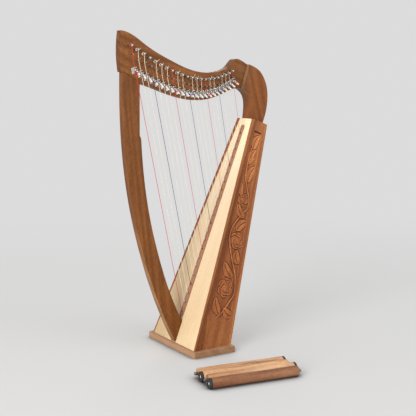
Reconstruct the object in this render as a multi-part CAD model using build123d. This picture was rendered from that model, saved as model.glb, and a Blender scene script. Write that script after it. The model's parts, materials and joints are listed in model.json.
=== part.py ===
from build123d import *
import math
import os

# A small Celtic lever harp with 22 strings, standing on its own base, with its four screw-in legs
# lying beside it. Millimetres. The origin is the middle of the base's underside: +Z is up, +X points
# from the pillar to the sound box and the player, and -Y is the side that carries strings and levers.

# Base plate
BASE_DEPTH = 128.0              # along X
BASE_LENGTH = 250.0             # along Y
BASE_THICKNESS = 16.7
BASE_ROUND = 1.5

# Sound box, measured along its soundboard (u, from the base upwards) and across it (Y)
BOX_LENGTH = 650.4
BOX_LEAN = 21.5                 # degrees that the soundboard leans back from upright
BOX_FOOT_X = -56.5              # where the soundboard's face meets the base
BOX_FOOT_DEPTH = 117.3          # along the base
BOX_TOP_DEPTH = 46.6            # square to the soundboard
BOX_FOOT_HALF = 113.6           # half the width at the base
BOX_TOP_HALF = 41.7
SIDE_THICKNESS = 14.0
LIP_FOOT = 6.0                  # side board showing beside the soundboard, at the base
LIP_TOP = 13.5                  # and at the top, where a little of the rebate is left
SOUNDBOARD_THICKNESS = 3.0
BACK_THICKNESS = 4.0
FOOT_BLOCK_HEIGHT = 18.0
TOP_BLOCK_HEIGHT = 30.0
LINING = 8.0                    # square section of the strips that back the soundboard's edges
BRACE_WIDTH, BRACE_HEIGHT = 12.0, 8.0

# Carved field in each side board
FIELD_DEPTH = 4.0
FIELD_FRONT_BORDER = 10.0
FIELD_BACK_BORDER = 14.0
FIELD_FOOT_U = 92.0
FIELD_TOP_U = 621.0

# Sound holes in the back, from the lowest up: place along the box and radius
SOUND_HOLES = ((160.0, 27.0), (305.0, 23.0), (440.0, 18.0))

# String rib, a strip on the soundboard and a second one behind it
RIB_FOOT_U, RIB_TOP_U = 71.5, 631.0
RIB_FOOT_WIDTH, RIB_TOP_WIDTH = 17.0, 13.5
RIB_THICKNESS = 3.0
INNER_RIB_THICKNESS = 4.0
INNER_RIB_SHARE = 0.8           # of the outer rib's width

# Neck, pillar and shoulder
NECK_THICKNESS = 25.0
PILLAR_THICKNESS = 23.0
SHOULDER_THICKNESS = 46.0
SHOULDER_TOP_BEHIND = 2.5       # how far its front and back stand in from the box's front and back
WOOD_ROUND = 1.2                # softened edges

# Strings
STRINGS = 22
STRING_RADIUS_BASS, STRING_RADIUS_TREBLE = 0.65, 0.38
FIRST_HOLE_U = 86.0             # first string's hole, along the box
HOLE_STEP, HOLE_STEP_FALL = 26.25, 0.07
FIRST_BRIDGE_X = -184.0         # first bridge pin, and the steps to the next ones
BRIDGE_STEP, BRIDGE_STEP_FALL = 18.0, 0.16
BRIDGE_ROW = (713.4, -15.2, 21.9, 3.5)   # height of the row of pins: a cubic in X, in hundreds of mm
STRING_STAND_OFF = 8.0          # string's line in front of the neck, at the bridge pins
KNOT_RADIUS = 2.4
EYELET_RADIUS, EYELET_BORE = 2.0, 1.3
EYELET_FLANGE, EYELET_FLANGE_HEIGHT = 2.9, 0.6

# Tuning pins: they turn in the neck, and the key fits the square end behind it
PIN_RADIUS = 2.5
PIN_RUNNING_CLEARANCE = 0.05
PIN_FRONT, PIN_BACK = 17.0, 19.0         # how far each end stands out of the neck
PIN_SQUARE, PIN_SQUARE_LENGTH = 3.6, 13.0
PIN_RISE_BASS, PIN_RISE_TREBLE = 22.5, 18.2   # above the bridge pins
PIN_BEHIND = 3.5                # towards the pillar from the bridge pins
PIN_EYE_RADIUS, PIN_EYE_BACK = 0.9, 3.0  # string's hole through the pin, and its place from the front end
WINDING_THICKNESS, WINDING_WIDTH = 1.0, 5.5

# Bridge pins
BRIDGE_RADIUS = 1.4
BRIDGE_HEAD_RADIUS, BRIDGE_HEAD_THICKNESS = 2.0, 1.2
BRIDGE_PAST_STRING = 2.5
BRIDGE_GAP = 0.08               # between a bridge pin and its string
BRIDGE_SINK = 14.0              # length inside the neck

# Sharping levers, one under each bridge pin, a semitone down its string
SEMITONE = 1.0 - 2.0 ** (-1.0 / 12.0)
PLATE_WIDTH, PLATE_HEIGHT, PLATE_THICKNESS = 6.8, 15.0, 1.6
PLATE_EDGE = -1.2               # plate's near edge, beside the string
EAR_THICKNESS = 1.6
EAR_ROUND_AXLE = 1.6            # metal left over the axle
BAR_THICKNESS = 2.0             # fret bar and guide bar
GUIDE_UP = 5.9                  # guide bar's place above the fret, along the string
GUIDE_HEADS = (-2.8, 2.6)       # its two round heads, on either side of the string
GUIDE_HEAD_RADIUS, GUIDE_HEAD_HEIGHT = 1.35, 3.4
STRING_GAP = 0.3                # between a string and the fret under it
CAM_REST_GAP, CAM_WORK_GAP = 0.45, 0.12
CAM_RADIUS = 2.2
HUB_RADIUS, AXLE_RADIUS, AXLE_CLEARANCE = 2.9, 1.2, 0.05
HUB_LEFT, HUB_RIGHT = -1.0, 2.8
AXLE_HEAD_RADIUS, AXLE_HEAD_THICKNESS = 2.1, 0.8
HANDLE_LENGTH, HANDLE_THICKNESS = 20.0, 2.4
HANDLE_DOWN_BASS, HANDLE_DOWN_TREBLE = 48.0, 32.0   # degrees below straight out, at rest
HANDLE_UP = 45.0                # degrees above straight out, when the lever is on
SCREW_RADIUS, SCREW_HEAD_RADIUS, SCREW_HEAD_HEIGHT, SCREW_LENGTH = 1.0, 1.9, 1.2, 9.0
SCREW_SLOT_WIDTH, SCREW_SLOT_DEPTH = 0.5, 0.4

# Legs, which screw into the base, lying on the floor
LEG_RADIUS, LEG_LENGTH = 13.0, 236.0
FOOT_LENGTH, GLIDE_RADIUS = 6.0, 5.0
FOOT_ROUND, LEG_END_CHAMFER, STUD_CHAMFER = 2.0, 1.0, 0.8
STUD_RADIUS, STUD_LENGTH, STUD_SINK = 4.0, 9.0, 16.0
INSERT_RADIUS, INSERT_LENGTH, INSERT_CLEARANCE = 6.0, 14.0, 0.15
LEG_INSET_X, LEG_INSET_Y = 20.0, 22.0
LEG_GAP = 1.0                   # between the legs on the floor
LEG_ROW_START = (-155.5, -337.0)
LEG_ROW_TURN = -8.5             # degrees from +X
LEG_SHIFTS = (0.0, 0.0, 1.0, -2.0)     # each leg along its own length
FIT = 0.02                      # between a fixed round piece and its hole

FAR = 400.0                     # reaches past everything, for cutting blocks

lean = math.radians(BOX_LEAN)
board = Plane(origin=(BOX_FOOT_X, 0, BASE_THICKNESS), x_dir=(math.sin(lean), 0, math.cos(lean)),
              z_dir=(-math.cos(lean), 0, math.sin(lean)))
NECK_FACE = -NECK_THICKNESS / 2


def on_board(u, w):
    """Point on the strings' plane, u along the soundboard and w out of its face."""
    return board.from_local_coords(Vector(u, 0, w))


def flat(points):
    """Points of the strings' plane as X and Z pairs."""
    return [(p.X, p.Z) for p in points]


def upright(edges, half_thickness):
    """Flat piece cut from an outline in X and Z, centred on the strings' plane."""
    return extrude(Plane.XZ * make_face(edges), amount=half_thickness, both=True)


def softened(piece, radius, half_thickness):
    """The piece with its flat faces' curved edges rounded, and the straight edges of its joints left sharp."""
    rims = [e for e in piece.edges() if abs(abs(e.center().Y) - half_thickness) < 1e-3]
    return fillet([e for e in rims if e.geom_type != GeomType.LINE], radius)


def save(name, *solids):
    group = Compound(children=list(solids)) if len(solids) > 1 else solids[0]
    export_step(group, "parts/" + name + ".step")


# ---------------------------------------------------------------- sound box

foot_front = on_board(0, 0)
top_front = on_board(BOX_LENGTH, 0)
top_back = on_board(BOX_LENGTH, -BOX_TOP_DEPTH)
foot_back = foot_front + Vector(BOX_FOOT_DEPTH, 0, 0)
back_run = top_back - foot_back
back = Plane(origin=foot_back, x_dir=back_run, z_dir=(back_run.Z, 0, -back_run.X))


def box_profile():
    corners = flat([foot_front, top_front, top_back, foot_back])
    return upright(Polyline(*corners, close=True), FAR)


def within(inset_foot, inset_top):
    """Everything nearer the strings' plane than the box's sides, less an inset."""
    over = FAR / BOX_LENGTH
    slope = BOX_TOP_HALF - BOX_FOOT_HALF - inset_top + inset_foot
    low = BOX_FOOT_HALF - inset_foot - over * slope
    high = BOX_TOP_HALF - inset_top
    corners = [(-FAR, -low), (BOX_LENGTH, -high), (BOX_LENGTH, high), (-FAR, low)]
    return extrude(board * make_face(Polyline(*corners, close=True)), amount=FAR, both=True)


def board_layer(w_low, w_high, u_low=-FAR, u_high=BOX_LENGTH + FAR):
    """Slab between two depths from the soundboard's face, and two places along it."""
    middle = Pos((u_low + u_high) / 2, 0, (w_low + w_high) / 2)
    return board * middle * Box(u_high - u_low, FAR, w_high - w_low)


def back_layer(depth):
    """Slab of this depth inside the box's back."""
    return back * Pos(0, 0, -depth / 2) * Box(3 * BOX_LENGTH, FAR, depth)


def rib_outline(width_share, end_inset=0.0):
    """A long strip that narrows upwards, with round ends, in the soundboard's plane."""
    r_foot = RIB_FOOT_WIDTH * width_share / 2
    r_top = RIB_TOP_WIDTH * width_share / 2
    low, high = RIB_FOOT_U + end_inset + r_foot, RIB_TOP_U - end_inset - r_top
    strip = make_face(Polyline((low, -r_foot), (high, -r_top), (high, r_top), (low, r_foot), close=True))
    return strip + Pos(low, 0) * Circle(r_foot) + Pos(high, 0) * Circle(r_top)


def string_hole_u(k):
    return FIRST_HOLE_U + HOLE_STEP * k - HOLE_STEP_FALL * k * k


def string_holes(radius):
    """Cutters for the row of string holes, square to the soundboard."""
    return [board * Pos(string_hole_u(k), 0, 0) * Cylinder(radius, 60) for k in range(STRINGS)]


def make_box():
    hull = box_profile()
    inside = hull & within(SIDE_THICKNESS, SIDE_THICKNESS)
    face = board_layer(-SOUNDBOARD_THICKNESS, 0)
    soundboard = hull & within(LIP_FOOT, LIP_TOP) & face
    sides = (hull & within(0, 0)) - within(SIDE_THICKNESS, SIDE_THICKNESS) - soundboard
    field = (hull - board_layer(-FIELD_FRONT_BORDER, FAR) - back_layer(FIELD_BACK_BORDER))
    field = field & board_layer(-FAR, FAR, FIELD_FOOT_U, FIELD_TOP_U)
    sides = sides - (field - within(FIELD_DEPTH, FIELD_DEPTH))
    back_panel = inside & back_layer(BACK_THICKNESS)
    for u, radius in SOUND_HOLES:
        back_panel = back_panel - back * Pos(u, 0, 0) * Cylinder(radius, 4 * BACK_THICKNESS)
    core = inside - face - back_layer(BACK_THICKNESS)
    foot_block = core & Pos(0, 0, BASE_THICKNESS) * Box(FAR, FAR, 2 * FOOT_BLOCK_HEIGHT)
    top_block = core & board_layer(-FAR, FAR, BOX_LENGTH - TOP_BLOCK_HEIGHT, BOX_LENGTH)
    edge = core - within(SIDE_THICKNESS + LINING, SIDE_THICKNESS + LINING)
    linings = edge & board_layer(-SOUNDBOARD_THICKNESS - LINING, 0) - foot_block - top_block
    braces = []
    for (low, _), (high, _) in zip(SOUND_HOLES, SOUND_HOLES[1:]):
        middle = back * Pos((low + high) / 2, 0, 0)
        strip = middle * Box(BRACE_WIDTH, FAR, 2 * (BACK_THICKNESS + BRACE_HEIGHT))
        braces.append((core & strip).solid())
    rib = extrude(board * rib_outline(1.0), amount=RIB_THICKNESS)
    inner_face = board.offset(-SOUNDBOARD_THICKNESS - INNER_RIB_THICKNESS)
    clear_of_block = RIB_TOP_U - (BOX_LENGTH - TOP_BLOCK_HEIGHT)
    inner_rib = extrude(inner_face * rib_outline(INNER_RIB_SHARE, clear_of_block + 1),
                        amount=INNER_RIB_THICKNESS)
    for hole in string_holes(EYELET_RADIUS + FIT):
        rib, soundboard, inner_rib = rib - hole, soundboard - hole, inner_rib - hole
    save("soundboard", soundboard.solid())
    save("side_panels", *sides.solids())
    save("back_panel", back_panel.solid())
    save("box_frame", foot_block.solid(), top_block.solid(), *linings.solids(), *braces)
    save("string_ribs", rib.solid(), inner_rib.solid())


def make_eyelets():
    eyelets = []
    tube = RIB_THICKNESS + SOUNDBOARD_THICKNESS + INNER_RIB_THICKNESS / 2
    for k in range(STRINGS):
        seat = board * Pos(string_hole_u(k), 0, RIB_THICKNESS)
        body = Pos(0, 0, -tube / 2) * Cylinder(EYELET_RADIUS, tube)
        flange = Pos(0, 0, EYELET_FLANGE_HEIGHT / 2) * Cylinder(EYELET_FLANGE, EYELET_FLANGE_HEIGHT)
        eyelets.append((seat * (body + flange - Cylinder(EYELET_BORE, 3 * tube))).solid())
    save("eyelets", *eyelets)


# ---------------------------------------------------------------- base and legs

def leg_places():
    x, y = BASE_DEPTH / 2 - LEG_INSET_X, BASE_LENGTH / 2 - LEG_INSET_Y
    return [Pos(sx * x, sy * y, 0) for sx in (-1, 1) for sy in (-1, 1)]


def make_base_and_legs():
    base = Pos(0, 0, BASE_THICKNESS / 2) * Box(BASE_DEPTH, BASE_LENGTH, BASE_THICKNESS)
    base = fillet(base.edges().filter_by(Axis.Z) + base.edges().group_by(Axis.Z)[-1], BASE_ROUND)
    inserts = []
    for place in leg_places():
        base = base - place * Cylinder(INSERT_RADIUS + FIT, 2 * INSERT_LENGTH)
        sleeve = Pos(0, 0, INSERT_LENGTH / 2) * Cylinder(INSERT_RADIUS, INSERT_LENGTH)
        sleeve = sleeve - Cylinder(STUD_RADIUS + INSERT_CLEARANCE, 3 * INSERT_LENGTH)
        inserts.append((place * sleeve).solid())
    save("base_plate", base.solid())

    legs, feet, studs = [], [], []
    floor = Plane(origin=(*LEG_ROW_START, LEG_RADIUS)).rotated((0, 0, LEG_ROW_TURN))
    reach = FOOT_LENGTH + LEG_LENGTH + STUD_LENGTH
    for n, shift in enumerate(LEG_SHIFTS):
        lying = floor * Pos(shift, (2 * LEG_RADIUS + LEG_GAP) * n, 0)
        if n % 2:
            lying = lying * Pos(reach, 0, 0) * Rot(0, 0, 180)
        lying = lying * Rot(0, 90, 0)
        leg = Pos(0, 0, FOOT_LENGTH + LEG_LENGTH / 2) * Cylinder(LEG_RADIUS, LEG_LENGTH)
        leg = chamfer(leg.edges().filter_by(GeomType.CIRCLE), LEG_END_CHAMFER)
        socket = FOOT_LENGTH + LEG_LENGTH - STUD_SINK / 2
        leg = leg - Pos(0, 0, socket) * Cylinder(STUD_RADIUS + FIT, STUD_SINK)
        foot = Pos(0, 0, FOOT_LENGTH / 2) * Cylinder(LEG_RADIUS, FOOT_LENGTH)
        foot = fillet(foot.edges().group_by(Axis.Z)[0], FOOT_ROUND)
        foot = foot - Cylinder(GLIDE_RADIUS, FOOT_LENGTH)
        stud_length = STUD_SINK + STUD_LENGTH
        stud = Pos(0, 0, reach - stud_length / 2) * Cylinder(STUD_RADIUS, stud_length)
        stud = chamfer(stud.edges().group_by(Axis.Z)[-1], STUD_CHAMFER)
        legs.append((lying * leg).solid())
        feet.append((lying * foot).solid())
        studs.append((lying * stud).solid())
    save("legs", *legs)
    save("leg_feet", *feet)
    save("leg_studs_and_inserts", *inserts, *studs)


# ---------------------------------------------------------------- strings: where they run

def share(k):
    """0 at the first (bass) string, 1 at the last."""
    return k / (STRINGS - 1)


def mix(bass, treble, k):
    return bass + (treble - bass) * share(k)


class StringRun:
    """One string's run: knot, eyelet, bridge pin, tuning pin and lever."""

    def __init__(self, k):
        self.radius = mix(STRING_RADIUS_BASS, STRING_RADIUS_TREBLE, k)
        u = string_hole_u(k)
        rise = EYELET_FLANGE_HEIGHT + 2 * self.radius
        self.knot = on_board(u, -SOUNDBOARD_THICKNESS - INNER_RIB_THICKNESS - KNOT_RADIUS - FIT)
        self.eyelet = on_board(u, RIB_THICKNESS + rise)
        x = FIRST_BRIDGE_X + BRIDGE_STEP * k - BRIDGE_STEP_FALL * k * k
        row = sum(c * (x / 100) ** power for power, c in enumerate(BRIDGE_ROW))
        self.bridge = Vector(x, NECK_FACE - STRING_STAND_OFF, row)
        pin_rise = mix(PIN_RISE_BASS, PIN_RISE_TREBLE, k)
        self.pin = Vector(x - PIN_BEHIND, 0, row + pin_rise)
        reach = PIN_RADIUS + self.radius + WINDING_THICKNESS
        self.wound = Vector(self.pin.X + reach, self.bridge.Y, self.pin.Z)
        self.down = (self.eyelet - self.bridge).normalized()
        self.length = (self.eyelet - self.bridge).length
        self.handle_down = mix(HANDLE_DOWN_BASS, HANDLE_DOWN_TREBLE, k)
        crossing = self.bridge + self.down * (SEMITONE * self.length)
        self.stand_off = NECK_FACE - crossing.Y
        flat_down = Vector(self.down.X, 0, self.down.Z).normalized()
        across = Vector(-flat_down.Z, 0, flat_down.X)
        self.fret = Plane(origin=(crossing.X, NECK_FACE, crossing.Z), x_dir=across, z_dir=(0, -1, 0))
        self.pivot_out = self.stand_off + self.radius + CAM_REST_GAP + HUB_RADIUS
        self.pivot = self.fret.from_local_coords(Vector(0, 0, self.pivot_out))
        self.lever_axis = across * -1
        self.lever_travel = self.handle_down + HANDLE_UP


runs = [StringRun(k) for k in range(STRINGS)]


def make_strings():
    strings = []
    for run in runs:
        path = FilletPolyline(run.knot, run.eyelet, run.bridge, run.wound,
                              radius=[2 * run.radius, 3 * run.radius])
        start = Plane(origin=path @ 0, z_dir=path % 0)
        string = sweep(start * Circle(run.radius), path=path)
        strings.append((string + Pos(run.knot) * Sphere(KNOT_RADIUS)).solid())
    save("strings", *strings)


def make_tuning_pins():
    for k, run in enumerate(runs):
        front = NECK_THICKNESS / 2 + PIN_FRONT
        length = front + NECK_THICKNESS / 2 + PIN_BACK
        along = Plane(origin=(run.pin.X, 0, run.pin.Z), z_dir=(0, 1, 0), x_dir=(1, 0, 0))
        pin = Pos(0, 0, length / 2 - front) * Cylinder(PIN_RADIUS, length)
        end = NECK_THICKNESS / 2 + PIN_BACK
        square = Pos(0, 0, end - PIN_SQUARE_LENGTH / 2)
        collar = square * Box(4 * PIN_RADIUS, 4 * PIN_RADIUS, PIN_SQUARE_LENGTH)
        pin = pin - (collar - square * Box(PIN_SQUARE, PIN_SQUARE, PIN_SQUARE_LENGTH))
        pin = chamfer(pin.edges().group_by(Axis.Z)[0], 0.5)
        eye = Pos(0, 0, PIN_EYE_BACK - front) * Rot(0, 90, 0) * Cylinder(PIN_EYE_RADIUS, 4 * PIN_RADIUS)
        wound = Pos(0, 0, run.bridge.Y)
        coil = wound * Cylinder(PIN_RADIUS + WINDING_THICKNESS - 0.1, WINDING_WIDTH)
        coil = coil - wound * Cylinder(PIN_RADIUS + FIT, 2 * WINDING_WIDTH)
        save("tuning_pin_%02d" % (k + 1), (along * (pin - eye)).solid(), (along * coil).solid())


def bridge_place(run):
    """The pin stands inside the bend that it gives its string, on the treble side."""
    below = Vector(run.down.X, 0, run.down.Z).normalized()
    above = Vector(run.wound.X - run.bridge.X, 0, run.wound.Z - run.bridge.Z).normalized()
    inside = (above + below).normalized()
    reach = (BRIDGE_RADIUS + run.radius + BRIDGE_GAP) / inside.cross(below).length
    centre = run.bridge + inside * reach
    return Plane(origin=(centre.X, NECK_FACE, centre.Z), z_dir=(0, -1, 0), x_dir=(1, 0, 0))


def make_bridge_pins():
    pins = []
    for run in runs:
        out = STRING_STAND_OFF + BRIDGE_PAST_STRING
        shank = Pos(0, 0, (out - BRIDGE_SINK) / 2) * Cylinder(BRIDGE_RADIUS, out + BRIDGE_SINK)
        head = Pos(0, 0, out) * Cylinder(BRIDGE_HEAD_RADIUS, BRIDGE_HEAD_THICKNESS)
        pins.append((bridge_place(run) * (shank + head)).solid())
    save("bridge_pins", *pins)


# ---------------------------------------------------------------- sharping levers

def screw_places():
    middle = PLATE_EDGE - PLATE_WIDTH + SCREW_HEAD_RADIUS + 0.5
    return [Pos(middle, y, 0) for y in (-PLATE_HEIGHT / 2, PLATE_HEIGHT / 6)]


def lever_bracket(run):
    """Plate with an upright ear, which carries the fret bar, the guide bar and the lever's axle."""
    fret_out = run.stand_off - run.radius - STRING_GAP
    ear_top = run.pivot_out + AXLE_RADIUS + EAR_ROUND_AXLE
    ear_at = PLATE_EDGE - EAR_THICKNESS
    plate = Box(PLATE_WIDTH, PLATE_HEIGHT, PLATE_THICKNESS, align=(Align.MAX, Align.CENTER, Align.MIN))
    bracket = Pos(PLATE_EDGE, -PLATE_HEIGHT / 6, 0) * plate
    ear = Polyline((-3.6, 0), (-2.6, ear_top), (2.6, ear_top), (4.0, fret_out), (7.0, fret_out), (7.0, 0),
                   close=True)
    bracket = bracket + Pos(ear_at, 0, 0) * extrude(Plane.YZ * make_face(ear), amount=EAR_THICKNESS)
    for start, end, up in ((ear_at, 3.0, 0), (ear_at - 1.2, 3.6, GUIDE_UP)):
        bar = Box(end - start, BAR_THICKNESS, BAR_THICKNESS, align=(Align.MIN, Align.CENTER, Align.MAX))
        bracket = bracket + Pos(start, up, fret_out) * bar
    for x in GUIDE_HEADS:
        head = Cylinder(GUIDE_HEAD_RADIUS, GUIDE_HEAD_HEIGHT + 1, align=(Align.CENTER, Align.CENTER, Align.MIN))
        head = Pos(x, GUIDE_UP, fret_out - 1) * head
        bracket = bracket + fillet(head.edges().group_by(Axis.Z)[-1], 0.6 * GUIDE_HEAD_RADIUS)
    axle_end = HUB_RIGHT + 0.2
    for start, end, radius in ((ear_at, axle_end, AXLE_RADIUS),
                               (axle_end, axle_end + AXLE_HEAD_THICKNESS, AXLE_HEAD_RADIUS)):
        bar = Pos((start + end) / 2, 0, run.pivot_out) * Rot(0, 90, 0) * Cylinder(radius, end - start)
        bracket = bracket + bar
    for place in screw_places():
        bracket = bracket - place * Cylinder(SCREW_RADIUS + FIT, 3 * PLATE_THICKNESS)
    return bracket


def bracket_screw():
    shank = Cylinder(SCREW_RADIUS, SCREW_LENGTH, align=(Align.CENTER, Align.CENTER, Align.MAX))
    dome = Cylinder(SCREW_HEAD_RADIUS, SCREW_HEAD_HEIGHT, align=(Align.CENTER, Align.CENTER, Align.MIN))
    dome = fillet(dome.edges().group_by(Axis.Z)[-1], 0.6 * SCREW_HEAD_HEIGHT)
    slot = Box(3 * SCREW_HEAD_RADIUS, SCREW_SLOT_WIDTH, 2 * SCREW_SLOT_DEPTH)
    return shank + (dome - Pos(0, 0, SCREW_HEAD_HEIGHT) * slot)


def make_lever_fixed_parts():
    screw = Pos(0, 0, PLATE_THICKNESS) * bracket_screw()
    pieces = []
    for run in runs:
        pieces.append((run.fret * lever_bracket(run)).solid())
        pieces.extend((run.fret * place * screw).solid() for place in screw_places())
    save("lever_brackets", *pieces)


def make_levers():
    for k, run in enumerate(runs):
        handle = SlotOverall(HANDLE_LENGTH, HANDLE_THICKNESS)
        handle = Rot(0, 0, 90 + run.handle_down) * Pos(HANDLE_LENGTH / 2, 0) * handle
        reach = HUB_RADIUS + CAM_REST_GAP - CAM_WORK_GAP - CAM_RADIUS
        cam = Rot(0, 0, run.lever_travel - 90) * Pos(reach, 0) * Circle(CAM_RADIUS)
        outline = Circle(HUB_RADIUS) + handle + cam - Circle(AXLE_RADIUS + AXLE_CLEARANCE)
        lever = Pos(HUB_LEFT, 0, run.pivot_out) * extrude(Plane.YZ * outline, amount=HUB_RIGHT - HUB_LEFT)
        save("lever_%02d" % (k + 1), (run.fret * lever).solid())


# ---------------------------------------------------------------- neck, pillar and shoulder

JOINT_TOP, JOINT_FOOT = (177.0, 770.8), (156.5, 705.6)
NECK_TIP_TOP, NECK_TIP_FOOT = (-210.0, 853.0), (-210.5, 749.3)


def neck_outline():
    top = Spline(NECK_TIP_TOP, (-195, 850.0), (-138, 817), (-67, 780), (6, 752.8), (44, 748), (92, 753.5),
                 (114, 763), (126, 775), (138, 785), (156, 782), JOINT_TOP)
    joint = Line(JOINT_TOP, JOINT_FOOT)
    under = Spline(JOINT_FOOT, (135, 705.2), (96, 691.5), (44, 677), (8, 675), (-42, 683.5), (-90, 698.3),
                   (-130, 712.3), (-158, 722), (-184, 738), NECK_TIP_FOOT)
    end = ThreePointArc(NECK_TIP_FOOT, (-214.3, 800), NECK_TIP_TOP)
    return [top, joint, under, end]


def neck_cutters():
    """Holes in the neck for tuning pins, bridge pins and lever screws."""
    for run in runs:
        through = Plane(origin=(run.pin.X, 0, run.pin.Z), z_dir=(0, 1, 0))
        yield through * Cylinder(PIN_RADIUS + PIN_RUNNING_CLEARANCE, 2 * NECK_THICKNESS)
        yield bridge_place(run) * Cylinder(BRIDGE_RADIUS + FIT, 2 * BRIDGE_SINK)
        for place in screw_places():
            yield run.fret * place * Cylinder(SCREW_RADIUS + FIT, 2 * SCREW_LENGTH)


def make_neck():
    neck = softened(upright(neck_outline(), NECK_THICKNESS / 2), WOOD_ROUND, NECK_THICKNESS / 2)
    neck = neck - list(neck_cutters())
    save("neck", neck.solid())


def make_pillar():
    foot = on_board(1.0, 0)
    heel = on_board(61.0, 0)
    front = Spline((foot.X, foot.Z), (-95.8, 104), (-130.3, 197), (-156.9, 287), (-177.8, 375),
                   (-197.7, 503), (-206.4, 640), (-205.2, 760))
    step_low, step_high = (-154.8, 570), (-159.4, 588)
    rear = Spline((heel.X, heel.Z), (-77.7, 173), (-106.5, 264), (-128.5, 353), (-143.3, 439),
                  (-152.1, 524), step_low)
    step = Spline(step_low, (-156.4, 580), step_high, tangents=((-1, 12), (-1, 12)))
    upper = Spline(step_high, (-158.6, 670), (-157.5, 760))
    head = Line((-157.5, 760), (-205.2, 760))
    mitre = Line((foot.X, foot.Z), (heel.X, heel.Z))
    half = PILLAR_THICKNESS / 2
    pillar = upright([front, mitre, rear, step, upper, head], half)
    pillar = (pillar - upright(neck_outline(), NECK_THICKNESS)).solids().sort_by(Axis.Z)[0]
    save("pillar", softened(pillar, WOOD_ROUND, half).solid())


def make_shoulder():
    front = on_board(BOX_LENGTH, -SHOULDER_TOP_BEHIND)
    rear = on_board(BOX_LENGTH, -BOX_TOP_DEPTH + SHOULDER_TOP_BEHIND)
    outer = Spline(JOINT_TOP, (193, 765), (213, 752.8), (228.5, 732), (237.5, 708), (240.3, 684),
                   (237.5, 652), (rear.X, rear.Z))
    seat = Line((rear.X, rear.Z), (front.X, front.Z))
    inner = Spline((front.X, front.Z), (187, 652), (186.5, 668), (182, 684.5), (170.5, 698), JOINT_FOOT)
    joint = Line(JOINT_FOOT, JOINT_TOP)
    half = SHOULDER_THICKNESS / 2
    save("shoulder_block", softened(upright([outer, seat, inner, joint], half), 2 * WOOD_ROUND, half).solid())


os.makedirs("parts", exist_ok=True)
make_box()
make_eyelets()
make_base_and_legs()
make_strings()
make_tuning_pins()
make_bridge_pins()
make_lever_fixed_parts()
make_levers()
make_neck()
make_pillar()
make_shoulder()
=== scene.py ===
import bmesh
import bpy
import json
import math
import numpy as np
from mathutils import Matrix, Vector


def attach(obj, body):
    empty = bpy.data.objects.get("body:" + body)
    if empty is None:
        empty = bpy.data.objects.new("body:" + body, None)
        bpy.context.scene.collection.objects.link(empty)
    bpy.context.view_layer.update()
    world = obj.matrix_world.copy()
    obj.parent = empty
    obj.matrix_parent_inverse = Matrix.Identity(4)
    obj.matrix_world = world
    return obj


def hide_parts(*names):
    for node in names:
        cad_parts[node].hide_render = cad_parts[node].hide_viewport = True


# A small Celtic lever harp with 22 strings, standing on its own base, with its four legs lying beside it.
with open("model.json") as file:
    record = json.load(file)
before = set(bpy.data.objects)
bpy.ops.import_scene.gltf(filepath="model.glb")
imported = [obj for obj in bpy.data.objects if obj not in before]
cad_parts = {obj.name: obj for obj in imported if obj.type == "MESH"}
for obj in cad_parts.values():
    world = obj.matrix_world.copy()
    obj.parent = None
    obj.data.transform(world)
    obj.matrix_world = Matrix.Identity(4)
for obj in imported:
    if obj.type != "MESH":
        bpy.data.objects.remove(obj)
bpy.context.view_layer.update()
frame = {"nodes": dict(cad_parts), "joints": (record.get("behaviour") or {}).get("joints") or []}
nodes = frame["nodes"]

# ---------------------------------------------------------------- the room
# A studio corner: pale grey floor and air, one large soft lamp on the left, a weaker one on the right and
# a small one behind, and a long lens a little below the harp's top, turned slightly down.

scene = bpy.context.scene
scene.view_settings.view_transform = "Standard"

lens = bpy.data.cameras.new("camera")
lens.lens, lens.sensor_width, lens.clip_end = 78.25, 36.0, 60.0
camera = bpy.data.objects.new("camera", lens)
eye = (-1.2661, -2.0865, 0.7354)
ahead, above = Vector((0.5299, 0.8359, -0.1430)).normalized(), Vector((0.0765, 0.1208, 0.9897))
beside = ahead.cross(above).normalized()
looking = Matrix((beside, beside.cross(ahead), -ahead)).transposed().to_4x4()
camera.matrix_world = Matrix.Translation(eye) @ looking
scene.collection.objects.link(camera)
scene.camera = camera


def lamp(name, place, target, size, watts, tint):
    """A square soft box at place, facing target."""
    light = bpy.data.lights.new(name, "AREA")
    light.size, light.energy, light.color = size, watts, tint
    box = bpy.data.objects.new(name, light)
    box.location = place
    box.rotation_euler = (Vector(target) - Vector(place)).to_track_quat("-Z", "Y").to_euler()
    scene.collection.objects.link(box)


lamp("key", (-3.9, -1.9, 1.5), (0, 0, 0.4), 2.4, 165, (1.0, 0.98, 0.95))
lamp("fill", (1.6, -3.0, 1.8), (0, 0, 0.4), 2.4, 40, (1.0, 0.99, 0.97))
lamp("rim", (1.4, 2.6, 2.6), (0, 0, 0.5), 1.6, 26, (1.0, 1.0, 1.0))


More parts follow.
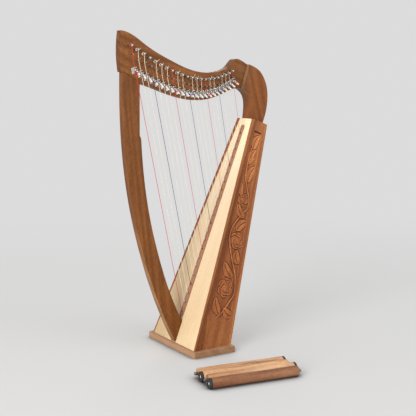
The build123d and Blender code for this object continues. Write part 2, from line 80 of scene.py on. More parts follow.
class Shade:
    """A socket of a material. An expression on values adds its Math nodes."""

    def __init__(self, tree, socket=None):
        self.tree, self.socket = tree, socket

    def node(self, kind, settings=None, sockets=None, output=0):
        """Adds a node: its settings first, then the values or links of its sockets."""
        new = self.tree.nodes.new("ShaderNode" + kind)
        for name, value in (settings or {}).items():
            setattr(new, name, value)
        for name, value in (sockets or {}).items():
            if isinstance(value, Shade):
                self.tree.links.new(value.socket, new.inputs[name])
            else:
                new.inputs[name].default_value = value
        return Shade(self.tree, new.outputs[output])

    def math(self, operation, *values):
        return self.node("Math", {"operation": operation}, dict(enumerate(values)))

    def size(self):
        """The value without its sign."""
        return self.math("ABSOLUTE", self)

    def along(self, way):
        """How far a place lies along a direction."""
        return self.node("VectorMath", {"operation": "DOT_PRODUCT"}, {0: self, 1: tuple(way)}, 1)

    def times(self, red, green, blue):
        """A colour with each of its three parts multiplied."""
        return self.node("VectorMath", {"operation": "MULTIPLY"}, {0: self, 1: (red, green, blue)})

    def part(self, axis):
        """x, y or z of a place, by its number from 0."""
        return self.node("SeparateXYZ", None, {0: self}, axis)

    def point(self, x, y, z):
        """A place, from its three parts."""
        return self.node("CombineXYZ", None, {0: x, 1: y, 2: z})

    def mix(self, first, second):
        """The colour first where this value is 0, second where it is 1, and a blend between."""
        colours = [c if isinstance(c, Shade) else (*c, 1.0) for c in (first, second)]
        return self.node("Mix", {"data_type": "RGBA"}, {0: self, 6: colours[0], 7: colours[1]}, 2)

    def step(self, start, end):
        """0 before start, 1 past end, and smooth between. End may be the lower of the two."""
        return self.node("MapRange", {"interpolation_type": "SMOOTHSTEP"}, {0: self, 1: start, 2: end})

    def noise(self, scale, detail=3.0, roughness=0.5, **more):
        return self.node("TexNoise", None, {"Vector": self, "Scale": scale, "Detail": detail,
                                            "Roughness": roughness, **more})

    def __add__(self, other):
        return self.math("ADD", self, other)

    def __radd__(self, other):
        return self.math("ADD", other, self)

    def __sub__(self, other):
        return self.math("SUBTRACT", self, other)

    def __rsub__(self, other):
        return self.math("SUBTRACT", other, self)

    def __mul__(self, other):
        return self.math("MULTIPLY", self, other)

    def __rmul__(self, other):
        return self.math("MULTIPLY", other, self)


def new_material(name, **fixed):
    """(material, its shading, a function that links what varies over the surface to the shader)."""
    material = bpy.data.materials.new(name)
    material.use_nodes = True
    tree = material.node_tree
    shader = tree.nodes["Principled BSDF"]
    for socket, value in fixed.items():
        shader.inputs[socket.replace("_", " ")].default_value = value

    def varies(**links):
        for socket, value in links.items():
            tree.links.new(value.socket, shader.inputs[socket.replace("_", " ")])

    return material, Shade(tree), varies


floor_grey = 0.716
world = bpy.data.worlds.new("room")
scene.world = world
world.use_nodes = True
air = Shade(world.node_tree)
seen = air.node("LightPath")
backdrop = air.node("Background", None, {"Color": (*[floor_grey] * 3, 1), "Strength": 1.0})
daylight = air.node("Background", None, {"Color": (1, 1, 1, 1), "Strength": 0.62})
both = air.node("MixShader", None, {0: seen, 1: daylight, 2: backdrop})
world.node_tree.links.new(both.socket, world.node_tree.nodes["World Output"].inputs["Surface"])


def ring_faces(rings, sides):
    """Four-cornered faces between rings of points that lie one after another, each ring closed on itself."""
    here = np.arange(rings - 1)[:, None] * sides + np.arange(sides)
    turned = np.arange(rings - 1)[:, None] * sides + (np.arange(sides) + 1) % sides
    return np.stack([here, turned, turned + sides, here + sides], -1).reshape(-1, 4)


floor_mesh = bpy.data.meshes.new("floor")
reach, rings, spokes = 9.0, 24, 96
radius = reach * np.linspace(0, 1, rings + 1)[1:] ** 1.5
angle = np.linspace(0, 2 * np.pi, spokes, endpoint=False)
ring_x, ring_y = np.outer(radius, np.cos(angle)), np.outer(radius, np.sin(angle))
floor_points = np.vstack([[0, 0, 0], np.stack([ring_x, ring_y, 0 * ring_x], -1).reshape(-1, 3)])
middle_fan = [(0, 1 + i, 1 + (i + 1) % spokes) for i in range(spokes)]
floor_rings = 1 + ring_faces(rings, spokes)[:, ::-1]
floor_mesh.from_pydata(floor_points.tolist(), [], middle_fan + floor_rings.tolist())
floor = bpy.data.objects.new("floor", floor_mesh)
scene.collection.objects.link(floor)
material, shade, varies = new_material("floor", Roughness=0.9, Specular_IOR_Level=0.1)
place = shade.node("TexCoord", output=3)
away = shade.node("VectorMath", {"operation": "LENGTH"}, {0: place}, 1).step(0.7, 2.6)
lit = material.node_tree.nodes["Principled BSDF"]
# Painted contact shadow: the floor glows evenly, and an occlusion node darkens its glow and its colour close
# to the harp and the legs.
outside_painted_shadow = shade.node("AmbientOcclusion", {"samples": 8}, {"Distance": 0.035}, 1).step(0.35, 1.0)
varies(Emission_Color=outside_painted_shadow.mix((0.0, 0.0, 0.0), (1.0, 1.0, 1.0)),
       Base_Color=outside_painted_shadow.mix((0.12, 0.12, 0.12), (0.50, 0.50, 0.50)))
lit.inputs["Emission Strength"].default_value = 0.185
far = shade.node("Emission", None, {"Color": (*[floor_grey] * 3, 1)})
blend = shade.node("MixShader", None, {0: away, 2: far})
material.node_tree.links.new(lit.outputs[0], blend.socket.node.inputs[1])
material.node_tree.links.new(blend.socket, material.node_tree.nodes["Material Output"].inputs["Surface"])
floor_mesh.materials.append(material)


def dress(node, material):
    """Gives a CAD node this material all over."""
    node.data.materials.clear()
    node.data.materials.append(material)


# ---------------------------------------------------------------- walnut: neck, pillar, shoulder
# Three blocks of walnut, band-sawn, rounded along the edges and glued at straight joints, then
# oiled to a satin. Each block has its own run of grain: level in the neck, upright in the pillar.


def wood(name, along, dark, light, figure=1.0, rings=42.0, pores=1.0, shift=0.0, sheen=0.42, tone=None):
    """Sawn wood: streaks of dark and light that run along one way.

    Every pattern but the patches is drawn out along the grain. Growth bands are a sine of the place across
    it, bent by slow noise; pores are short dashes; patches are slow changes of tone; end grain is darker.
    """
    material, shade, varies = new_material(name, Specular_IOR_Level=0.14, Coat_Weight=0.02,
                                           Coat_Roughness=0.25)
    place, normal = shade.node("TexCoord", output=3), shade.node("TexCoord", output=1)
    along = Vector(along).normalized()
    side = along.cross(Vector((0, 1, 0)) if abs(along.y) < 0.8 else Vector((1, 0, 0))).normalized()
    a, b, c = (place.along(way) for way in (along, side, along.cross(side)))
    grain = shade.point(a * 0.09 + shift, b, c)
    drift = grain.noise(7.0, 3.0, 0.55, Distortion=0.6)
    bands = shade.math("SINE", (b + c * 0.55 + drift * (0.085 * figure) + shift) * (rings * 2 * math.pi))
    streaks = grain.noise(60.0, 4.0, 0.62)
    pore = shade.point(a * 55.0, b * 1100.0, c * 1100.0).noise(1.0, 2.0, 0.5).step(0.60, 0.72)
    patches = place.noise(5.0, 2.0, 0.5)
    fine = shade.point(a * 0.6, b, c).noise(210.0, 3.0, 0.6)
    amount = (bands * 0.09 + streaks * 0.75 + fine * 0.55 - 0.26 + (patches - 0.5) * 0.45).step(0.1, 0.86)
    colour = amount.mix(dark, light)
    colour = (pore * (0.42 * pores)).mix(colour, tuple(0.35 * v for v in dark))
    end_grain = normal.along(along).size().step(0.6, 0.9)
    colour = end_grain.mix(colour, colour.times(0.74, 0.69, 0.64))
    if tone is not None:
        colour = tone(shade, place, colour)
    rough = streaks * 0.12 + pore * 0.12 + (sheen - 0.06)
    height = streaks * 0.5 - pore * pores
    relief = shade.node("Bump", None, {"Strength": 0.35, "Distance": 0.0002, "Height": height})
    varies(Base_Color=colour, Roughness=rough, Normal=relief)
    return material


joint_way, joint_offset = (0.9539, 0, -0.2999), 0.0623      # square to the glued joint, and where it is


def glued_ends(shade, place, colour):
    """A thin pale line where the neck and the shoulder are glued, and greyer wood beside it."""
    near = (place.along(joint_way) + joint_offset).size()
    colour = near.step(0.050, 0.004).mix(colour, colour.times(0.96, 1.06, 1.22))
    return (near.step(0.0007, 0.0002) * 0.45).mix(colour, (0.42, 0.26, 0.15))


def painted_front_sheen(shade, place, colour):
    """Painted reflection: the pillar's narrow front face, picked by the way it faces, is made paler and
    greyer towards its foot.
    """
    front = shade.node("TexCoord", output=1).part(0).step(-0.6, -0.9)
    low = place.part(2).step(0.42, 0.12)
    return (front * low).mix(colour, colour.times(1.7, 2.4, 3.9))


dress(nodes["neck"], wood("neck walnut", (0.94, 0, -0.30), (0.145, 0.050, 0.0125), (0.325, 0.125, 0.039),
                          figure=1.2, rings=52, sheen=0.52, tone=glued_ends))
dress(nodes["pillar"], wood("pillar walnut", (-0.10, 0, 1.0), (0.128, 0.043, 0.010), (0.270, 0.096, 0.026),
                            rings=46, shift=0.31, tone=painted_front_sheen))
dress(nodes["shoulder_block"], wood("shoulder walnut", (-0.25, 0, 1.0), (0.160, 0.050, 0.012),
                                    (0.310, 0.104, 0.028), figure=1.1, rings=36, shift=0.67, tone=glued_ends))

# ---------------------------------------------------------------- sound box
# Walnut side boards with a carved field, a pale spruce soundboard let into them with a walnut rib under
# the strings, a walnut back, and plain softwood blocks and strips inside.

box_lean = math.radians(21.5)
box_up = np.array([math.sin(box_lean), 0.0, math.cos(box_lean)])         # up the soundboard's face
box_in = np.array([math.cos(box_lean), 0.0, -math.sin(box_lean)])        # from that face to the back
box_foot = np.array([-0.0565, 0.0, 0.0167])                              # where the face meets the base
foot_height, foot_depth = 0.043, 0.1091      # where the back meets the base
back_taper = 0.1029                          # depth lost for each metre up


def from_foot(place, way):
    """How far a place lies from the box's foot along a direction."""
    return place.along(way) - float(box_foot @ way)


def back_edge(height):
    """Depth of the box at a height up its face: foot_depth, less the taper for each metre above it."""
    return foot_depth - back_taper * (height - foot_height)


def painted_light_top(place, colour, most):
    """Painted light: the side boards' colour made paler towards the top of the box, where it is most times
    itself.
    """
    return from_foot(place, box_up).step(0.40, 0.66).mix(colour, colour.times(*most))


def edged(shade, place, colour):
    """A pale arris in front, pale from wear, a darker strip behind it, a pale strip along the back edge, and
    painted light towards the top.
    """
    height, depth = from_foot(place, box_up), from_foot(place, box_in)
    colour = painted_light_top(place, colour, (1.14, 1.20, 1.26))
    strip = depth.step(0.0012, 0.0020) * (depth - height.step(0.14, 0.02) * 0.012).step(0.0102, 0.0086)
    colour = strip.mix(colour, colour.times(0.60, 0.54, 0.50))
    return (back_edge(height) - depth).step(0.0074, 0.0062).mix(colour, colour.times(1.35, 1.45, 1.5))


def painted_light_and_shade_on_board(shade, place, colour):
    """Painted light and shade: paler towards the top, darker towards the base on the far side, and a little
    darker and yellower near the base.
    """
    height, across = place.part(2), place.part(1)
    colour = height.step(0.40, 0.62).mix(colour, colour.times(1.22, 1.24, 1.20))
    painted_shade_far_low = across.step(0.0, 0.07) * height.step(0.40, 0.05)
    colour = painted_shade_far_low.mix(colour, colour.times(0.74, 0.72, 0.68))
    return height.step(0.50, 0.02).mix(colour, colour.times(0.96, 0.93, 0.82))


dress(nodes["side_panels"], wood("side walnut", box_up, (0.205, 0.064, 0.019), (0.375, 0.138, 0.045),
                                 figure=0.9, rings=38, shift=0.13, tone=edged))
dress(nodes["back_panel"], wood("back walnut", (0.27, 0, 0.96), (0.175, 0.058, 0.021), (0.320, 0.125, 0.052),
                                figure=1.2, rings=30, shift=0.83))
dress(nodes["box_frame"], wood("inner softwood", (0.37, 0, 0.93), (0.52, 0.36, 0.20), (0.68, 0.50, 0.31),
                               figure=0.6, rings=60, pores=0.3))
dress(nodes["soundboard"], wood("spruce", box_up, (0.76, 0.570, 0.375), (0.86, 0.705, 0.510),
                                figure=0.35, rings=150, pores=0.25, sheen=0.36, tone=painted_light_and_shade_on_board))
dress(nodes["string_ribs"], wood("rib walnut", box_up, (0.300, 0.145, 0.085), (0.500, 0.270, 0.165),
                                 figure=0.8, rings=60, shift=0.4))

# ---------------------------------------------------------------- base plate and legs
# A flat walnut board, lighter than the harp, and four turned walnut legs in a row on the floor, side by
# side and turned a little from the base.

row_turn, leg_pitch, leg_radius = math.radians(8.5), 0.027, 0.013
leg_way = np.array([math.cos(row_turn), -math.sin(row_turn), 0.0])
leg_side = np.array([math.sin(row_turn), math.cos(row_turn), 0.0])
front_leg_end, second_leg_start = -0.3445, -0.3415      # along leg_side


def matched(shade, place, colour):
    """The leg nearest the front comes from darker, redder wood than the other three."""
    lane, run = place.along(leg_side), place.along(leg_way)
    heart = shade.point(run * 5.0, lane * 75.0, 0.0).noise(1.0, 2.0, 0.5)
    colour = heart.step(0.52, 0.64).mix(colour, colour.times(0.68, 0.60, 0.56))
    others = lane.step(front_leg_end, second_leg_start)
    return others.mix(colour.times(0.84, 0.74, 0.70), colour.times(1.95, 2.25, 2.30))


dress(nodes["base_plate"], wood("base walnut", (0, 1, 0.02), (0.345, 0.182, 0.098), (0.490, 0.292, 0.170),
                                figure=0.7, rings=36, shift=0.5))
dress(nodes["legs"], wood("leg walnut", leg_way, (0.250, 0.115, 0.056), (0.450, 0.250, 0.142),
                          figure=1.6, rings=30, shift=0.22, tone=matched))

# ---------------------------------------------------------------- feet and metal fittings
# Black rubber feet, plated tuning pins and brackets, blued levers, bridge pins and studs, and darkened
# eyelets. All are bought parts, pressed into the wood or screwed to it.

string_count = 22


def plain(name, colour, rough, metallic=0.0):
    """Smooth material with faint smudges in its gloss."""
    material, shade, varies = new_material(name, Base_Color=(*colour, 1), Metallic=metallic)
    place = shade.node("TexCoord", output=3)
    varies(Roughness=place.noise(90.0, 3.0, 0.6) * (0.5 * rough) + 0.75 * rough)
    return material


rubber = plain("rubber", (0.018, 0.018, 0.019), 0.7)
steel = plain("zinc plated steel", (0.40, 0.39, 0.37), 0.34, 1.0)
dark_steel = plain("blued steel", (0.20, 0.19, 0.185), 0.38, 1.0)
nickel = plain("nickel plate", (0.90, 0.89, 0.86), 0.24, 0.45)
satin_nickel = plain("satin nickel plate", (0.70, 0.68, 0.64), 0.30, 0.85)
dark_metal = plain("darkened eyelets", (0.11, 0.075, 0.05), 0.5, 0.6)
for fitting, finish in (("leg_feet", rubber), ("leg_studs_and_inserts", dark_steel), ("eyelets", dark_metal),
                        ("bridge_pins", dark_steel), ("lever_brackets", satin_nickel)):
    dress(nodes[fitting], finish)
for number in range(1, string_count + 1):
    dress(nodes["tuning_pin_%02d" % number], steel)
    dress(nodes["lever_%02d" % number], dark_steel)

# ---------------------------------------------------------------- carving in the side boards
# A climbing rose, cut in low relief by hand: a vine that winds up the board, three roses and eleven
# leaves. The ground is cut back 4 mm below the borders and left with the marks of the gouge.

# Places on a board are u, the height up its front edge, and d, the depth from that edge towards the back.
field_low, field_high, field_front, field_depth = 0.092, 0.621, 0.010, 0.004
slot_low = 0.6175               # above this the field is one plain cut, dark with painted shadow
back_border = 0.0141
box_length, foot_half_width, top_half_width = 0.6504, 0.1136, 0.0417
vine = np.array([(575, 19), (548, 16), (520, 17), (489, 22), (462, 36), (437, 50), (410, 53), (391, 41),
                 (369, 29), (346, 20), (317, 20), (282, 35), (240, 60), (214, 73), (176, 80), (149, 70),
                 (120, 57), (101, 42), (93, 34)]) / 1000
roses = ((0.427, 0.0325, 0.0195), (0.316, 0.046, 0.0255), (0.185, 0.0465, 0.0280))
leaves = (((0.614, 0.031), (0.571, 0.021), 0.0122), ((0.573, 0.030), (0.532, 0.018), 0.0110),
          ((0.529, 0.043), (0.478, 0.030), 0.0130), ((0.412, 0.018), (0.380, 0.046), 0.0112),
          ((0.378, 0.064), (0.343, 0.033), 0.0135), ((0.292, 0.050), (0.255, 0.067), 0.0140),
          ((0.250, 0.021), (0.214, 0.058), 0.0135), ((0.153, 0.022), (0.108, 0.047), 0.0130),
          ((0.130, 0.056), (0.113, 0.091), 0.0140), ((0.472, 0.013), (0.436, 0.022), 0.0085),
          ((0.552, 0.034), (0.527, 0.018), 0.0070))


def field_back(u):
    """Depth of the carved field's back edge: the box's back edge less its border."""
    return back_edge(u) - back_border


def along_vine(u, d):
    """Distance from the vine's centre line, a smooth line through its points."""
    t = np.linspace(0, len(vine) - 1, 260)
    k = np.clip(t.astype(int), 1, len(vine) - 3)
    f = (t - k)[:, None]
    p0, p1, p2, p3 = vine[k - 1], vine[k], vine[k + 1], vine[k + 2]
    line = 0.5 * (2 * p1 + (p2 - p0) * f + (2 * p0 - 5 * p1 + 4 * p2 - p3) * f ** 2
                  + (3 * p1 - p0 - 3 * p2 + p3) * f ** 3)
    nearest = np.full(u.shape, 1.0)
    for pu, pd in line:
        nearest = np.minimum(nearest, (u - pu) ** 2 + (d - pd) ** 2)
    return np.sqrt(nearest)


def leaf_height(u, d, tip, stalk, half_width):
    """0 to 1: an almond with pointed ends, a sunk midrib and slanting side veins, one side higher."""
    tip, stalk = np.array(tip), np.array(stalk)
    run = tip - stalk
    length = np.hypot(*run)
    run = run / length
    s = ((u - stalk[0]) * run[0] + (d - stalk[1]) * run[1]) / length
    t = ((d - stalk[1]) * run[0] - (u - stalk[0]) * run[1]) / half_width
    t = t + 0.35 * np.sin(np.pi * np.clip(s, 0, 1)) - 0.15
    reach = np.sin(np.pi * np.clip(s, 0, 1) ** 0.8) ** 0.75
    inside = np.clip(1 - np.abs(t) / np.maximum(reach, 1e-3), 0, 1) * (s > 0) * (s < 1)
    body = np.clip(inside * 4.5, 0, 1) ** 0.5 * (0.80 + 0.22 * np.tanh(2.5 * t))
    rib = 0.42 * np.exp(-(t / 0.10) ** 2)
    veins = 0.10 * (0.5 + 0.5 * np.cos(2 * np.pi * (6.0 * s + 1.6 * np.abs(t))))
    return np.clip(body - (rib + veins) * (inside > 0), 0, 1)


def rose_height(u, d, cu, cd, size, turn):
    """0 to 1: an open rose. Petals lie in three uneven rings of 5, 4 and 3 round a coiled bud; each is
    hollow with a high rolled rim, drops to the one outside it, and tucks under its neighbour on one side."""
    r, angle = np.hypot(u - cu, d - cd) / size, np.arctan2(d - cd, u - cu) + turn
    height = np.zeros(r.shape)
    for count, outer, base, twist in ((5, 1.0, 0.50, 0.0), (4, 0.74, 0.66, 0.9), (3, 0.47, 0.84, 2.3)):
        slice_ = (angle + twist + 0.30 * np.sin(angle + 3 * twist)) * count / (2 * np.pi)
        share = slice_ - np.floor(slice_)
        rim = outer * (0.80 + 0.20 * np.sin(np.pi * share) ** 0.5 - 0.16 * share
                       + 0.04 * np.sin(2 * angle + turn))
        inside = np.clip((rim - r) / 0.04, 0, 1)
        across = np.clip(r / rim, 0, 1)
        bowl = base - 0.30 + 0.52 * across ** 5 - 0.30 * np.clip(1 - share / 0.20, 0, 1) * across
        height = np.where(inside > 0, np.maximum(bowl, 0.08) * inside ** 0.5, height)
    coil = np.mod(3.2 * r / 0.3 - angle / (2 * np.pi), 1.0)
    bud = 0.70 + 0.28 * coil ** 0.8
    return np.clip(np.where(r < 0.27, bud, height), 0, 1)


def smooth(height, cells):
    """Mean over a square of cells each way, from running sums."""
    padded = np.pad(height, cells, mode="edge")
    sums = np.cumsum(np.cumsum(padded, 0), 1)
    sums = np.pad(sums, ((1, 0), (1, 0)))
    w = 2 * cells + 1
    return (sums[w:, w:] - sums[:-w, w:] - sums[w:, :-w] + sums[:-w, :-w]) / w ** 2


def carved_height(u, d):
    """0 to 1: the highest of the tooled ground, the vine and the leaves, with the roses laid over them."""
    ground = 0.05 + 0.03 * np.sin(u * 1500 + 3 * np.sin(d * 700)) * np.sin(d * 1300 + 2 * np.sin(u * 400))
    stem_radius = 0.0027 + 0.0005 * np.sin(u * 130) + 0.0003 * np.sin(u * 410)
    stem = np.clip(1 - (along_vine(u, d) / stem_radius) ** 2, 0, 1) ** 0.5 * 0.72
    height = np.maximum(ground, stem)
    for tip, stalk, half_width in leaves:
        height = np.maximum(height, 0.92 * leaf_height(u, d, tip, stalk, half_width))
    for n, (cu, cd, size) in enumerate(roses):
        rose = rose_height(u, d, cu, cd, size, 1.3 * n)
        height = np.where(rose > 0.05, np.maximum(rose, ground), height)
    return smooth(height, 1)


def painted_shade_on_carving(shade, place, colour):
    """Painted shade and light on the carving: darker in the ground and the cuts, paler on the high places and
    ridges and towards the top.
    """
    colour = painted_light_top(place, colour, (1.50, 1.66, 1.78))
    height = shade.node("Attribute", {"attribute_name": "height"}, output=2)
    edge = shade.node("Attribute", {"attribute_name": "edge"}, output=2)
    colour = height.step(0.10, 0.75).mix(colour.times(0.90, 0.88, 0.88), colour.times(1.22, 1.27, 1.30))
    colour = edge.step(-0.01, -0.11).mix(colour, colour.times(0.30, 0.25, 0.22))
    return edge.step(0.04, 0.20).mix(colour, colour.times(1.50, 1.60, 1.70))


carved_wood = wood("carved walnut", box_up, (0.215, 0.062, 0.018), (0.385, 0.135, 0.043),
                   figure=0.9, rings=38, shift=0.13, tone=painted_shade_on_carving)
rows, columns = 760, 120
u = np.linspace(field_low, field_high, rows)[:, None] * np.ones((1, columns))
d = field_front + (field_back(u) - field_front) * np.linspace(0, 1, columns)
carved = carved_height(u, d)

# The relief runs up to the borders in a bank and to the field's foot in a slope. The tone and the edges
# fade out there, so that banks take the colour of the border.
in_slot, from_low = u > slot_low, u - field_low
to_border = np.minimum(d - field_front, field_back(u) - d)
bank = 0.97 * np.clip(1 - to_border / 0.0048, 0, 1) ** 1.6
slope = 0.97 * np.clip(1 - from_low / 0.022, 0, 1) ** 1.3
height = np.where(in_slot, 0.0, np.maximum(carved, np.maximum(bank, slope)))
# The edges, the relief less its blur, give painted shade in the cuts and painted highlights on the ridges; in
# the slot they give a painted shadow.
edge = (carved - smooth(carved, 4)) * np.clip(to_border / 0.003, 0, 1) * np.clip(from_low / 0.02, 0, 1)
edge = np.where(in_slot, -0.3, edge)
# The tone gives painted shade in the ground and painted light on the high places; in the slot it is lowest,
# more painted shadow.
border_tone = 0.30
inland = np.clip(to_border / 0.005, 0, 1) * np.clip((from_low - 0.004) / 0.03, 0, 1)
tone = np.where(in_slot, 0.0, border_tone + (carved - border_tone) * inland)

# Each carving is a thin closed sheet: the relief in front, its outline again just inside the board with
# one face across it, and walls between the two.
half_width = foot_half_width - (foot_half_width - top_half_width) * u / box_length
outline = np.concatenate([np.arange(columns), columns * np.arange(1, rows) + columns - 1,
                          columns * rows - 2 - np.arange(columns - 1), columns * np.arange(rows - 2, 0, -1)])
here = (np.arange(rows - 1)[:, None] * columns + np.arange(columns - 1)[None, :])
below = rows * columns + np.arange(len(outline))
for hand, side in (("left", -1), ("right", 1)):
    points = box_foot + u[..., None] * box_up + d[..., None] * box_in
    points[..., 1] = side * (half_width - field_depth + 0.0001 + (field_depth - 0.0003) * height)
    sunk = points.copy()
    sunk[..., 1] = side * (half_width - field_depth - 0.001)
    faces = np.stack([here, here + 1, here + columns + 1, here + columns], -1).reshape(-1, 4)
    walls = np.stack([outline, below, np.roll(below, -1), np.roll(outline, -1)], -1)
    if side > 0:
        faces, walls = faces[:, ::-1], walls[:, ::-1]
    back = tuple(int(i) for i in (below if side > 0 else below[::-1]))
    mesh = bpy.data.meshes.new("carving_" + hand)
    mesh.from_pydata(np.vstack([points.reshape(-1, 3), sunk.reshape(-1, 3)[outline]]), [],
                     faces.tolist() + walls.tolist() + [back])
    mesh.polygons.foreach_set("use_smooth", np.ones(len(mesh.polygons), bool))
    for name, values in (("height", tone), ("edge", edge)):
        layer = mesh.attributes.new(name, "FLOAT", "POINT")
        layer.data.foreach_set("value", np.concatenate([values.ravel(), np.zeros(len(outline))]))
    mesh.materials.append(carved_wood)
    carving = bpy.data.objects.new("carving_" + hand, mesh)
    scene.collection.objects.link(carving)
    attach(carving, "harp")

# ---------------------------------------------------------------- strings
# Nylon strings, each knotted behind the soundboard: every C is red, every F is nearly black, and the
# rest are clear and look like cream. Each string's colour is kept on its points.

c_strings, f_strings = (1, 8, 15, 22), (4, 11, 18)
cream, red, black = (0.78, 0.71, 0.58), (0.62, 0.018, 0.035), (0.035, 0.036, 0.045)


def string_colour(number):
    return red if number in c_strings else black if number in f_strings else cream


def points_of(mesh):
    """Places of a mesh's points, one row each."""
    places = np.empty(len(mesh.vertices) * 3)
    mesh.vertices.foreach_get("co", places)
    return places.reshape(-1, 3)


def shells_of(mesh):
    """Number, from 0, of the closed shell that each point is on: a point takes the lowest number among its
    neighbours, and the number that this one has taken, until none changes."""
    ends = np.empty(len(mesh.edges) * 2, np.int32)
    mesh.edges.foreach_get("vertices", ends)
    first, second = ends.reshape(-1, 2).T
    shell, before = np.arange(len(mesh.vertices)), None
    while before is None or (shell != before).any():
        before = shell.copy()
        np.minimum.at(shell, first, before[second])
        np.minimum.at(shell, second, before[first])
        shell = shell[shell]
    return np.unique(shell, return_inverse=True)[1]


string_mesh = nodes["strings"].data.copy()
work = bmesh.new()
work.from_mesh(string_mesh)
bmesh.ops.remove_doubles(work, verts=work.verts, dist=2e-6)
work.to_mesh(string_mesh)
work.free()
places, shell = points_of(string_mesh), shells_of(string_mesh)
knot_x = []
for own in (places[shell == n] for n in range(shell.max() + 1)):
    knot_x.append(own[own[:, 2].argmin(), 0])
number_of = np.empty(len(knot_x), int)
number_of[np.argsort(knot_x)] = np.arange(1, len(knot_x) + 1)
tint = np.array([(*string_colour(n), 1.0) for n in number_of])[shell]
layer = string_mesh.attributes.new("tint", "FLOAT_COLOR", "POINT")
layer.data.foreach_set("color", tint.ravel())
string_mesh.polygons.foreach_set("use_smooth", np.ones(len(string_mesh.polygons), bool))


def nylon():
    """Smooth and slightly glossy, in each string's own colour, with a slow change along it."""
    material, shade, varies = new_material("nylon", Roughness=0.28, IOR=1.53)
    tint = shade.node("Attribute", {"attribute_name": "tint"})
    place = shade.node("TexCoord", output=3)
    varies(Base_Color=place.noise(35.0).step(0.2, 0.8).mix(tint.times(0.88, 0.88, 0.88), tint))
    return material


string_mesh.materials.clear()
string_mesh.materials.append(nylon())
strings = bpy.data.objects.new("coloured_strings", string_mesh)
scene.collection.objects.link(strings)
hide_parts("strings")
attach(strings, "harp")


def tube(path, radius, sides):
    """Points and faces of a round tube with flat ends: at each point of the path, a ring square to the path.

    Every ring starts on the side that is square to one steady direction.
    """
    tangent = np.gradient(path, axis=0)
    tangent /= np.linalg.norm(tangent, axis=1)[:, None]
    steady = np.array([0.31, 0.12, 0.94]) if abs(tangent[:, 2]).mean() < 0.8 else np.array([0.2, 0.97, 0.1])
    side = np.cross(tangent, steady)
    side /= np.linalg.norm(side, axis=1)[:, None]
    other = np.cross(tangent, side)
    angle = np.linspace(0, 2 * np.pi, sides, endpoint=False)
    ring = np.cos(angle)[None, :, None] * side[:, None] + np.sin(angle)[None, :, None] * other[:, None]
    points = (path[:, None] + ring * radius).reshape(-1, 3)
    faces = ring_faces(len(path), sides).tolist()
    faces += [tuple(range(sides))[::-1], tuple(range((len(path) - 1) * sides, len(path) * sides))]
    return points, faces


def closed_piece(name, parts, material, body):
    """One object from several closed shells, its faces turned outwards."""
    points, faces, count = [], [], 0
    for shell_points, shell_faces in parts:
        points.append(shell_points)
        faces += [tuple(i + count for i in face) for face in shell_faces]
        count += len(shell_points)
    mesh = bpy.data.meshes.new(name)
    mesh.from_pydata(np.vstack(points), [], faces)
    work = bmesh.new()
    work.from_mesh(mesh)
    bmesh.ops.recalc_face_normals(work, faces=work.faces)
    work.to_mesh(mesh)
    work.free()
    mesh.polygons.foreach_set("use_smooth", np.ones(len(mesh.polygons), bool))
    mesh.materials.append(material)
    piece = bpy.data.objects.new(name, mesh)
    scene.collection.objects.link(piece)
    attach(piece, body)


# ---------------------------------------------------------------- windings on the tuning pins
# Each string is wound round its pin in touching turns, passes through the pin's eye and ends in a
# short cut tail, which stands out up and to the right.

pin_radius, winding_width, string_y = 0.0025, 0.0055, -0.0205
longest_radius, shortest_radius = 0.00065, 0.00038      # of the longest and the shortest string
coil_radius, points_a_turn = pin_radius + 0.00055, 18
joint_at = {joint["child"]: joint for joint in frame["joints"]}
winding_finish = {}
for number in range(1, string_count + 1):
    body = "tuning_pin_%02d" % number
    pivot = np.array(joint_at[body]["pos_m"])
    thick = longest_radius + (shortest_radius - longest_radius) * (number - 1) / (string_count - 1)
    colour = string_colour(number)
    if colour not in winding_finish:
        winding_finish[colour] = plain("wound string %d" % (len(winding_finish) + 1), colour, 0.3)
    turns = winding_width / (2 * thick) - 0.6
    t = np.linspace(0, 1, int(points_a_turn * turns))
    angle = 2 * np.pi * turns * t
    y = string_y - winding_width / 2 + 0.3 * thick + (winding_width - 0.6 * thick) * t
    coil = np.stack([pivot[0] + coil_radius * np.cos(angle), y, pivot[2] + coil_radius * np.sin(angle)], -1)
    lift, reach = 0.9 + 0.35 * math.sin(2.1 * number), 0.0075 + 0.003 * math.sin(1.7 * number)
    s = np.linspace(0, 1, 9)[:, None]
    tail = coil[0] + s * np.array([reach * math.cos(lift), -0.0015, reach * math.sin(lift)]) \
        + np.sin(np.pi * s) * np.array([0.0006, -0.0012, 0.0])
    closed_piece("winding_%02d" % number, [tube(coil, thick, 8), tube(tail, 0.75 * thick, 6)],
                 winding_finish[colour], body)

# ---------------------------------------------------------------- lever grips
# Each sharping lever is a dark bar in a long, rounded nickel grip; the C levers carry a red sleeve
# round the grip's waist and the F levers a blue one.

band_finish = {red: plain("red sleeve", (0.78, 0.035, 0.015), 0.3),
               black: plain("blue sleeve", (0.02, 0.05, 0.55), 0.3)}


def grip(centre, way, axis, start, end, wide, thick, rounds):
    """A sleeve round a bar that runs from centre along way: at each place a rounded rectangle, cos and sin
    to a power, full in the middle of its length and closing to a dome at both ends."""
    squareness, sides = 0.45, 20
    across = np.cross(way, axis)
    s = np.linspace(0, 1, 15)
    swell = np.clip(1 - np.abs(2 * s - 1) ** rounds, 0, 1) ** 0.5
    a = np.linspace(0, 2 * np.pi, sides, endpoint=False)
    over, up = (np.sign(wave(a)) * np.abs(wave(a)) ** squareness for wave in (np.cos, np.sin))
    run = centre + way * (start + (end - start) * s)[:, None]
    points = run[:, None] + (swell[:, None] * over)[..., None] * axis * wide \
        + (swell[:, None] * up)[..., None] * across * thick
    rings = len(s) - 2
    points = np.vstack([points[1:-1].reshape(-1, 3), run[0], run[-1]])
    faces = ring_faces(rings, sides).tolist()
    for first, tip in ((0, rings * sides), ((rings - 1) * sides, rings * sides + 1)):
        faces += [(first + i, first + (i + 1) % sides, tip) for i in range(sides)]
    return points, faces


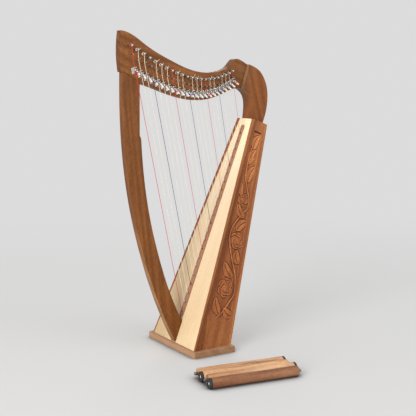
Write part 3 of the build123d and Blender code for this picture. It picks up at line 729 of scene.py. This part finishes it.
for number in range(1, string_count + 1):
    body = "lever_%02d" % number
    pivot, axis = np.array(joint_at[body]["pos_m"]), np.array(joint_at[body]["axis"])
    axis = axis / np.linalg.norm(axis)
    from_pivot = points_of(nodes[body].data) - pivot
    over_axis = from_pivot @ axis
    flat = from_pivot - np.outer(over_axis, axis)
    span = np.linalg.norm(flat, axis=1)
    way = flat[span > 0.97 * span.max()].mean(0)
    way /= np.linalg.norm(way)
    centre = pivot + axis * (over_axis.max() + over_axis.min()) / 2
    whole = grip(centre, way, axis, start=0.0034, end=0.0205, wide=0.0022, thick=0.0017, rounds=9.0)
    closed_piece("grip_%02d" % number, [whole], nickel, body)
    colour = string_colour(number)
    if colour in band_finish:
        band = grip(centre, way, axis, start=0.0086, end=0.0130, wide=0.0026, thick=0.0022, rounds=10.0)
        closed_piece("sleeve_%02d" % number, [band], band_finish[colour], body)

# ---------------------------------------------------------------- glides in the leg feet
# A bright domed steel glide is pressed into the middle of each rubber foot.

leg_count, glide_sides = 4, 28
dome_radius = np.array([0.0001, 0.0012, 0.0024, 0.0034, 0.0042, 0.0048, 0.0049, 0.0049])
dome_depth = np.array([0.0008, 0.00085, 0.0010, 0.0013, 0.0018, 0.0026, 0.0038, 0.0055])
angle = np.linspace(0, 2 * np.pi, glide_sides, endpoint=False)[None, :, None]
round_leg = np.cos(angle) * leg_side + np.sin(angle) * np.array([0, 0, 1.0])
foot_points = points_of(nodes["leg_feet"].data)
lane = foot_points @ leg_side
glides = []
for n in range(leg_count):
    middle = lane.min() + leg_radius + leg_pitch * n
    run = foot_points[np.abs(lane - middle) < leg_radius + 0.0002] @ leg_way
    outer, inward = (run.min(), 1) if n % 2 == 0 else (run.max(), -1)      # the legs lie head to tail
    hub = leg_way * outer + leg_side * middle + np.array([0, 0, leg_radius])
    path = hub + np.outer(inward * dome_depth, leg_way)
    points = (path[:, None] + dome_radius[:, None, None] * round_leg).reshape(-1, 3)
    faces = ring_faces(len(path), glide_sides).tolist()
    faces += [tuple(range(glide_sides)), tuple(range(len(points) - glide_sides, len(points)))]
    glides.append((points, faces))
closed_piece("glides", glides, nickel, "harp")
